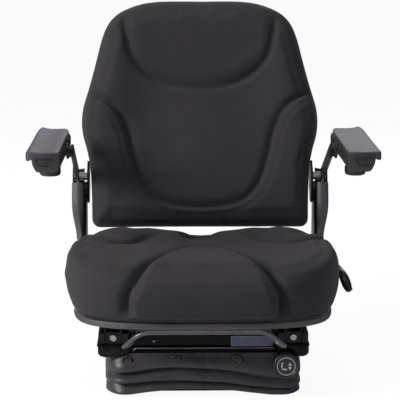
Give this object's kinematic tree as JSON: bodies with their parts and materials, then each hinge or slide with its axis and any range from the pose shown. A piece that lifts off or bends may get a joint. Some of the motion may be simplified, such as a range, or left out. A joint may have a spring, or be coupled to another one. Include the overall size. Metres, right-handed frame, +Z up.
{
  "type": "tractor suspension seat",
  "caption": "Black fabric operator seat with folding armrests, a reclining back and slide rails on a low scissor suspension inside a folded rubber boot.",
  "frame": {"origin": "middle of the underside of the base tray", "axes": "+Z up from the mounting face, the seat faces -Y, +X is on the viewer's right from the front"},
  "size_m": [0.611, 0.5667, 0.6759],
  "materials": {
    "cloth": "knitted cover cloth over foam",
    "boot": "moulded rubber",
    "plastic": "moulded, lightly grained",
    "rest_skin": "self-skinned polyurethane foam",
    "gloss_plate": "gloss paint",
    "roller_nylon": "turned nylon",
    "zinc": "zinc plated",
    "spring_steel": "oiled spring wire",
    "black_steel": "powder coated"
  },
  "bodies": {
    "base": {"base_tray": "black_steel", "rubber_buffer_left": "boot", "rubber_buffer_right": "boot", "damper_front_pin": "zinc", "folded_boot": "boot", "carrying_spring_left": "spring_steel", "carrying_spring_right": "spring_steel"},
    "outer_scissor": {"outer_scissor_frame": "black_steel", "centre_pin_left": "zinc", "centre_pin_right": "zinc"},
    "inner_scissor": {"inner_scissor_frame": "black_steel"},
    "suspended_frame": {"upper_frame": "black_steel", "front_cross_plate": "gloss_plate", "boot_clip_1": "plastic", "boot_clip_2": "plastic", "boot_clip_3": "plastic", "lower_rail_left": "black_steel", "lower_rail_right": "black_steel", "rail_bolt_left": "zinc", "rail_bolt_right": "zinc", "spring_cup_left": "zinc", "spring_cup_right": "zinc", "drive_housing": "black_steel", "damper_rear_pin": "zinc"},
    "preload_shaft": {"preload_camshaft": "zinc"},
    "weight_setting": {"weight_knob": "plastic", "preload_spindle": "zinc"},
    "damper_body": {"damper_tube": "black_steel"},
    "damper_piston": {"damper_rod": "zinc"},
    "seat": {"upper_rail_left": "black_steel", "upper_rail_right": "black_steel", "seat_pan": "black_steel", "seat_cushion": "cloth", "recliner_bracket_left": "black_steel", "recliner_bracket_right": "black_steel", "recline_bolt_left": "zinc", "recline_bolt_right": "zinc"},
    "release_bar": {"slide_release_bar": "black_steel"},
    "lever": {"recline_lever": "plastic"},
    "backrest": {"backrest_cushion": "cloth", "backrest_shell": "plastic", "recliner_side_plate_left": "black_steel", "recliner_side_plate_right": "black_steel", "side_cover_left": "plastic", "side_cover_right": "plastic", "armrest_bolt_left": "zinc", "armrest_bolt_right": "zinc"},
    "upper_roller_left": {"upper_roller_left": "roller_nylon"},
    "lower_roller_left": {"lower_roller_left": "roller_nylon"},
    "armrest_arm_left": {"armrest_plate_left": "black_steel"},
    "armrest_left": {"armrest_body_left": "plastic", "armrest_pad_left": "rest_skin"},
    "tilt_wheel_left": {"armrest_wheel_left": "plastic"},
    "upper_roller_right": {"upper_roller_right": "roller_nylon"},
    "lower_roller_right": {"lower_roller_right": "roller_nylon"},
    "armrest_arm_right": {"armrest_plate_right": "black_steel"},
    "armrest_right": {"armrest_body_right": "plastic", "armrest_pad_right": "rest_skin"},
    "tilt_wheel_right": {"armrest_wheel_right": "plastic"}
  },
  "joints": [
    {"name": "suspension_stroke", "type": "slide", "parent": "base", "child": "suspended_frame", "axis": [0, 0, 1], "range_m": [-0.034, 0], "stiffness_N_per_m": 15000, "springref_m": 0.052, "deforming": ["folded_boot", "carrying_spring_left", "carrying_spring_right"]},
    {"name": "outer_scissor_turn", "type": "hinge", "parent": "base", "child": "outer_scissor", "pos_m": [0, 0.12, 0.0151], "axis": [1, 0, 0], "range_deg": [0, 7.95]},
    {"name": "inner_scissor_turn", "type": "hinge", "parent": "suspended_frame", "child": "inner_scissor", "pos_m": [0, 0.12, 0.0779], "axis": [1, 0, 0], "range_deg": [-7.95, 0]},
    {"name": "damper_tube_swing", "type": "hinge", "parent": "base", "child": "damper_body", "pos_m": [0, -0.095, 0.02], "axis": [1, 0, 0], "range_deg": [-10.42, 0]},
    {"name": "damper_rod_swing", "type": "hinge", "parent": "suspended_frame", "child": "damper_piston", "pos_m": [0, 0.085, 0.072], "axis": [1, 0, 0], "range_deg": [-10.42, 0]},
    {"name": "weight_knob_turn", "type": "hinge", "parent": "suspended_frame", "child": "weight_setting", "pos_m": [0.146, -0.185, 0.063], "axis": [0, -1, 0], "range_deg": [0, 3600]},
    {"name": "preload_shaft_turn", "type": "hinge", "parent": "suspended_frame", "child": "preload_shaft", "pos_m": [0, -0.065, 0.0835], "axis": [1, 0, 0], "range_deg": [0, 90]},
    {"name": "fore_aft_slide", "type": "slide", "parent": "suspended_frame", "child": "seat", "axis": [0, 1, 0], "range_m": [-0.075, 0.075]},
    {"name": "release_bar_lift", "type": "hinge", "parent": "seat", "child": "release_bar", "pos_m": [0, -0.1, 0.1228], "axis": [-1, 0, 0], "range_deg": [0, 4.5], "stiffness_Nm_per_rad": 6, "springref_deg": -8.59},
    {"name": "backrest_recline", "type": "hinge", "parent": "seat", "child": "backrest", "pos_m": [0, 0.165, 0.31], "axis": [-1, 0, 0], "range_deg": [-5, 25]},
    {"name": "recline_lever_lift", "type": "hinge", "parent": "seat", "child": "lever", "pos_m": [0.2235, 0.14, 0.19], "axis": [-1, 0, 0], "range_deg": [0, 15], "stiffness_Nm_per_rad": 2, "springref_deg": -14.32},
    {"name": "upper_roller_spin_left", "type": "hinge", "parent": "outer_scissor", "child": "upper_roller_left", "pos_m": [-0.123, -0.12198, 0.0779], "axis": [1, 0, 0], "continuous": true},
    {"name": "lower_roller_spin_left", "type": "hinge", "parent": "inner_scissor", "child": "lower_roller_left", "pos_m": [-0.103, -0.12198, 0.0151], "axis": [1, 0, 0], "continuous": true},
    {"name": "armrest_lift_left", "type": "hinge", "parent": "backrest", "child": "armrest_arm_left", "pos_m": [-0.2365, 0.16, 0.343], "axis": [-1, 0, 0], "range_deg": [0, 90]},
    {"name": "armrest_tilt_left", "type": "hinge", "parent": "armrest_arm_left", "child": "armrest_left", "pos_m": [-0.2365, -0.03, 0.422], "axis": [-1, 0, 0], "range_deg": [-10, 10]},
    {"name": "tilt_wheel_turn_left", "type": "hinge", "parent": "armrest_left", "child": "tilt_wheel_left", "pos_m": [-0.2715, -0.12, 0.4], "axis": [0, 0, 1], "range_deg": [-240, 240]},
    {"name": "upper_roller_spin_right", "type": "hinge", "parent": "outer_scissor", "child": "upper_roller_right", "pos_m": [0.123, -0.12198, 0.0779], "axis": [1, 0, 0], "continuous": true},
    {"name": "lower_roller_spin_right", "type": "hinge", "parent": "inner_scissor", "child": "lower_roller_right", "pos_m": [0.103, -0.12198, 0.0151], "axis": [1, 0, 0], "continuous": true},
    {"name": "armrest_lift_right", "type": "hinge", "parent": "backrest", "child": "armrest_arm_right", "pos_m": [0.2365, 0.16, 0.343], "axis": [-1, 0, 0], "range_deg": [0, 90]},
    {"name": "armrest_tilt_right", "type": "hinge", "parent": "armrest_arm_right", "child": "armrest_right", "pos_m": [0.2365, -0.03, 0.422], "axis": [-1, 0, 0], "range_deg": [-10, 10]},
    {"name": "tilt_wheel_turn_right", "type": "hinge", "parent": "armrest_right", "child": "tilt_wheel_right", "pos_m": [0.2715, -0.12, 0.4], "axis": [0, 0, 1], "range_deg": [-240, 240]}
  ],
  "couplings": [
    {"joint": "outer_scissor_turn", "follows": "suspension_stroke", "rad_per_m": -4.0725},
    {"joint": "inner_scissor_turn", "follows": "suspension_stroke", "rad_per_m": 4.0725},
    {"joint": "damper_tube_swing", "follows": "suspension_stroke", "rad_per_m": 5.3401},
    {"joint": "damper_rod_swing", "follows": "suspension_stroke", "rad_per_m": 5.3401},
    {"joint": "preload_shaft_turn", "follows": "weight_knob_turn", "ratio": 0.025},
    {"joint": "tilt_wheel_turn_left", "follows": "armrest_tilt_left", "ratio": 24},
    {"joint": "tilt_wheel_turn_right", "follows": "armrest_tilt_right", "ratio": 24}
  ]
}
